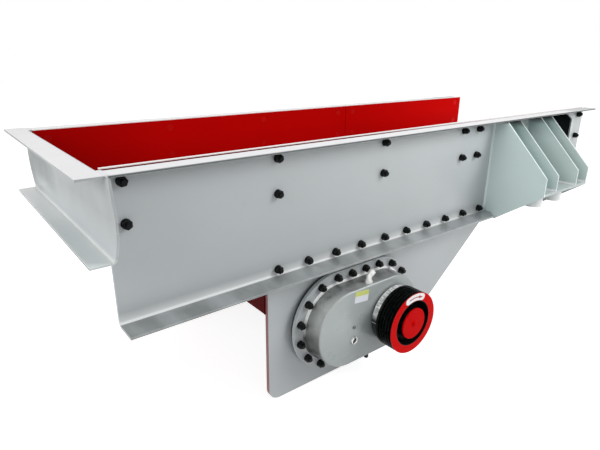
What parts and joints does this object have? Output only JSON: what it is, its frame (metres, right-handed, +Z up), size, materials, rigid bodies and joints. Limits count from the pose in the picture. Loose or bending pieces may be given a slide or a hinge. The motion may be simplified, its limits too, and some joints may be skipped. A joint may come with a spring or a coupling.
{
  "type": "linear vibratory feeder",
  "caption": "Trough feeder shaken by a twin-shaft exciter: flanged side plates, lined pan, grizzly bars, spring brackets and a V-belt pulley.",
  "frame": {"origin": "middle of the spring seat under the feed end plate", "axes": "+X along the trough to the discharge end, +Z up, drive pulley on the -Y side"},
  "size_m": [3.915, 1.986, 1.364],
  "materials": {
    "grey_paint": "satin light grey machine paint",
    "red_paint": "satin red paint",
    "black_rubber": "matt black rubber sheet",
    "black_steel": "black oxide fasteners, lightly oiled",
    "bare_steel": "turned bare steel",
    "black_iron": "black painted cast iron",
    "pulley_red": "gloss red paint",
    "gauge": "plated bezel round a sight glass",
    "zinc": "bright plated pipe fitting",
    "cast_iron": "as cast iron, inside the exciter"
  },
  "bodies": {
    "trough": {"side_plate_near": "grey_paint", "side_plate_far": "grey_paint", "feed_end_plate": "grey_paint", "pan_plate": "red_paint", "pan_liner": "red_paint", "pan_beam_1": "red_paint", "pan_beam_2": "red_paint", "pan_beam_3": "red_paint", "grizzly_beam_1": "red_paint", "grizzly_beam_2": "red_paint", "grizzly_bars": "red_paint", "liner_near_feed": "red_paint", "liner_near_discharge": "red_paint", "liner_far_feed": "red_paint", "liner_far_discharge": "red_paint", "rubber_near": "black_rubber", "rubber_far": "black_rubber", "liner_bolts_near": "black_steel", "liner_bolts_far": "black_steel", "carrier_near": "grey_paint", "carrier_far": "grey_paint", "carrier_bolts_near": "black_steel", "carrier_bolts_far": "black_steel", "cross_plate_feed": "red_paint", "cross_plate_discharge": "red_paint", "exciter_housing": "cast_iron", "gear_cover": "grey_paint", "end_cover": "grey_paint", "cover_bolts_near": "black_steel", "cover_bolts_far": "black_steel", "drive_outer_rings": "bare_steel", "driven_outer_rings": "bare_steel", "seal_cap": "grey_paint", "breather": "zinc", "level_plug": "black_steel", "sight_glass": "gauge", "drain_plug": "black_steel", "bracket_ribs_near": "grey_paint", "bracket_ribs_far": "grey_paint", "bracket_base_near": "grey_paint", "bracket_base_far": "grey_paint", "spring_cup_near_1": "grey_paint", "spring_cup_near_2": "grey_paint", "spring_cup_far_1": "grey_paint", "spring_cup_far_2": "grey_paint"},
    "drive_rotor": {"drive_shaft": "bare_steel", "drive_gear": "cast_iron", "drive_weights": "cast_iron", "drive_inner_rings": "bare_steel", "slinger_ring": "bare_steel", "pulley": "black_iron", "hub_cap": "pulley_red"},
    "driven_rotor": {"driven_shaft": "bare_steel", "driven_gear": "cast_iron", "driven_weights": "cast_iron", "driven_inner_rings": "bare_steel"}
  },
  "joints": [
    {"name": "drive_spin", "type": "hinge", "parent": "trough", "child": "drive_rotor", "pos_m": [1.501, 0, -0.65], "axis": [0, 1, 0], "continuous": true},
    {"name": "driven_spin", "type": "hinge", "parent": "trough", "child": "driven_rotor", "pos_m": [1.189, 0, -0.65], "axis": [0, 1, 0], "continuous": true}
  ],
  "couplings": [
    {"joint": "driven_spin", "follows": "drive_spin", "ratio": -1}
  ]
}
